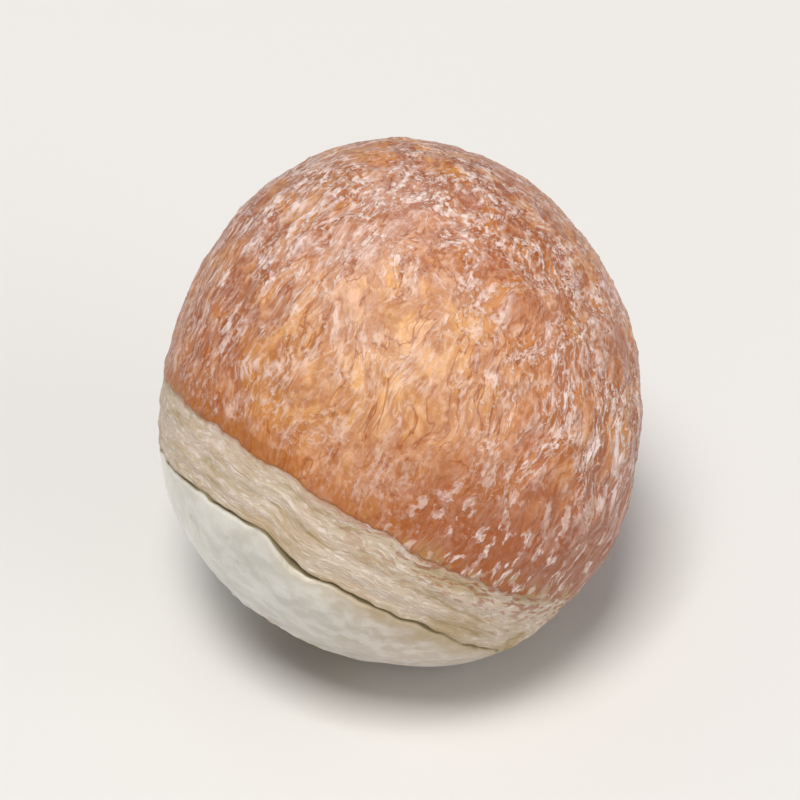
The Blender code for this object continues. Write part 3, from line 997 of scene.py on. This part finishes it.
def cap_material(colours):
    """Waxy cap, darker and browner to the swollen side, partly as painted shade, browner near the crease,
    and the collar round the pit.
    """
    material, tree, place, tone = start_material("nut_cap")
    side, _, from_crease = parts_of(tree, place, CREASE_MARK)
    # Darker cloudy patches, fainter at the end away from the swollen side: partly the cap's own mottle,
    # partly painted shade.
    clouds = add_mottle(tree, place, per_mm=0.7, coverage=0.55, softness=0.25)
    clouds = product(tree, clouds, remap(tree, side, -3.4, -0.8, 0.45, 1.0))
    chalk = add_mottle(tree, place, per_mm=2.6, coverage=0.48, softness=0.10)
    veins = add_veins(tree, place, per_mm=1.3, width=0.018, coverage=0.42)
    specks = add_mottle(tree, place, per_mm=4.0, coverage=0.32, softness=0.04)
    stain = add_line(tree, place, from_crease, half_width=0.70, raggedness=0.7)
    stain = product(tree, stain, remap(tree, side, -2.5, 2.2, 0.15, 1.0))
    crack = add_crack(tree, place, tone, from_crease)
    from_collar = calculate(tree, "SUBTRACT", attribute(tree, "nut_reach")["Fac"], COLLAR_MARK)
    collar = add_line(tree, place, from_collar, half_width=0.52, raggedness=0.50)
    collar = remap(tree, collar, 0.05, 0.45)
    colour = paint(
        tree,
        colours.cap,
        (clouds, colours.cap_shade, 1.0),
        # Browner toward the swollen side: partly the cap's own tan, partly painted shade.
        (remap(tree, side, -0.8, 2.4), colours.cap_tan, 0.80),
        (chalk, colours.cap_chalk, 0.4),
        (veins, colours.band_ochre, 0.3),
        (specks, colours.band_ochre, 0.25),
        (stain, colours.band_ochre, 0.7),
        (crack, colours.crease, 0.9),
        (collar, colours.collar, 1.0),
        (product(tree, collar, remap(tree, tone, 0.55, 0.2)), colours.crease, 0.6),
        (product(tree, collar, remap(tree, tone, 0.62, 0.85)), colours.cap, 0.5),
    )
    roughness = blend_values(tree, calculate(tree, "MAXIMUM", collar, crack), 0.38, 0.80)
    grain = add_grain(tree, place, per_mm=5.0, pits=0.5)
    height = calculate(tree, "MULTIPLY_ADD", chalk, 0.4, grain)
    others = {
        "Sheen Weight": 0.20,
        "Sheen Roughness": 0.30,
        "Subsurface Weight": 0.15,
        "Subsurface Radius": (1.0, 0.75, 0.5),
        "Subsurface Scale": 0.35 * MM,
    }
    finish_material(tree, colour, roughness, height, CAP_GRAIN_DEPTH, others)
    return material


def hilum_material(colours):
    """Dark crumbly floor and walls of the pit."""
    material, tree, place, tone = start_material("nut_hilum")
    clouds = add_mottle(tree, place, per_mm=2.0, coverage=0.45, softness=0.15)
    crumbs = add_mottle(tree, place, per_mm=5.5, coverage=0.42, softness=0.05)
    cracks = add_veins(tree, place, per_mm=3.0, width=0.03, coverage=0.5)
    colour = paint(
        tree,
        colours.hilum,
        (clouds, colours.crease, 0.5),
        (product(tree, crumbs, remap(tree, tone, 0.45, 0.8)), colours.hilum_fleck, 0.8),
        (cracks, colours.collar, 0.5),
    )
    roughness = blend_values(tree, clouds, 0.55, 0.95)
    grain = add_grain(tree, place, per_mm=9.0, pits=0.6)
    finish_material(tree, colour, roughness, grain, HILUM_GRAIN_DEPTH)
    return material


class FOXNUT_OT_kernel(bpy.types.Operator):
    """Grow the whole kernel over its solid, with its skin, band, waxy cap and hilum"""

    bl_idname = "fox_nut.kernel"
    bl_label = "Grow kernel"

    def execute(self, context):
        mesh = grow_kernel(KernelShape(context.scene.fox_nut_sizes))
        for build_group in (build_veins_group, build_mottle_group, build_grain_group, build_line_group):
            build_group()
        for make_material in (skin_material, band_material, cap_material, hilum_material):
            mesh.materials.append(make_material(context.scene.fox_nut_colours))
        kernel = bpy.data.objects.new("fox_nut_surface", mesh)
        context.scene.collection.objects.link(kernel)
        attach(kernel, "root")
        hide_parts("fox_nut")
        return {"FINISHED"}


def aim_at(thing, place, target):
    """Puts a lamp or camera at a place and turns it to look at the target."""
    thing.location = place
    thing.rotation_euler = (target - place).to_track_quat("-Z", "Y").to_euler()


def add_softbox(scene, name, towards, distance, side, power, colour):
    """A large square lamp this far from the nut."""
    lamp = bpy.data.lights.new(name, "AREA")
    lamp.shape = "SQUARE"
    lamp.size = side
    lamp.energy = power
    lamp.color = colour
    softbox = bpy.data.objects.new(name, lamp)
    scene.collection.objects.link(softbox)
    aim_at(softbox, CAD_MIDDLE + Vector(towards).normalized() * distance, CAD_MIDDLE)


def add_floor(scene):
    """The pale floor under the nut."""
    half = FLOOR_SIDE / 2
    corners = [(-half, -half, 0), (half, -half, 0), (half, half, 0), (-half, half, 0)]
    mesh = bpy.data.meshes.new("floor")
    mesh.from_pydata(corners, [], [(0, 1, 2, 3)])
    floor = bpy.data.objects.new("floor", mesh)
    scene.collection.objects.link(floor)
    floor.location.z = CAD_LOW.z
    material = bpy.data.materials.new("pale_floor")
    material.use_nodes = True
    shader = material.node_tree.nodes["Principled BSDF"]
    shader.inputs["Base Color"].default_value = scene.fox_nut_colours.floor
    shader.inputs["Roughness"].default_value = FLOOR_ROUGHNESS
    mesh.materials.append(material)


def add_camera(scene):
    """The camera, on the nut's middle."""
    lens = bpy.data.cameras.new("camera")
    lens.lens = CAMERA_LENS
    lens.sensor_width = CAMERA_SENSOR
    lens.clip_start = CAMERA_NEAR
    lens.clip_end = CAMERA_REACH
    camera = bpy.data.objects.new("camera", lens)
    scene.collection.objects.link(camera)
    distance = RESTING_HEIGHT / NUT_SHARE_OF_VIEW * CAMERA_LENS / CAMERA_SENSOR
    back = Vector((0, -math.cos(CAMERA_RISE), math.sin(CAMERA_RISE)))
    aim_at(camera, CAD_MIDDLE + back * distance, CAD_MIDDLE)
    scene.camera = camera


class FOXNUT_OT_stage(bpy.types.Operator):
    """Add the pale floor, the soft light and the camera"""

    bl_idname = "fox_nut.stage"
    bl_label = "Set the stage"

    def execute(self, context):
        scene = context.scene
        add_floor(scene)
        world = bpy.data.worlds.new("studio")
        world.use_nodes = True
        background = world.node_tree.nodes["Background"]
        background.inputs["Color"].default_value = SKY_COLOUR
        background.inputs["Strength"].default_value = SKY_STRENGTH
        scene.world = world
        for lamp in LAMPS:
            add_softbox(scene, *lamp)
        add_camera(scene)
        scene.view_settings.view_transform = "Standard"
        return {"FINISHED"}


class FOXNUT_PT_panel(bpy.types.Panel):
    """Panel in the 3D view's sidebar"""

    bl_idname = "FOXNUT_PT_panel"
    bl_label = "Fox nut"
    bl_space_type = "VIEW_3D"
    bl_region_type = "UI"
    bl_category = "Fox nut"

    def draw(self, context):
        for settings in (context.scene.fox_nut_sizes, context.scene.fox_nut_colours):
            box = self.layout.box()
            for name in settings.__annotations__:
                box.prop(settings, name)
        self.layout.operator(FOXNUT_OT_kernel.bl_idname)
        self.layout.operator(FOXNUT_OT_stage.bl_idname)


CLASSES = (FoxNutSizes, FoxNutColours, FOXNUT_OT_kernel, FOXNUT_OT_stage, FOXNUT_PT_panel)


def register():
    """Registers the classes, and hangs the settings on the scene."""
    for item in CLASSES:
        bpy.utils.register_class(item)
    bpy.types.Scene.fox_nut_sizes = bpy.props.PointerProperty(type=FoxNutSizes)
    bpy.types.Scene.fox_nut_colours = bpy.props.PointerProperty(type=FoxNutColours)


def unregister():
    """Takes away what register added."""
    del bpy.types.Scene.fox_nut_colours
    del bpy.types.Scene.fox_nut_sizes
    for item in reversed(CLASSES):
        bpy.utils.unregister_class(item)


def main():
    """Builds the nut and its stage."""
    register()
    bpy.ops.fox_nut.kernel()
    bpy.ops.fox_nut.stage()
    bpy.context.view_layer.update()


if __name__ == "__main__":
    main()
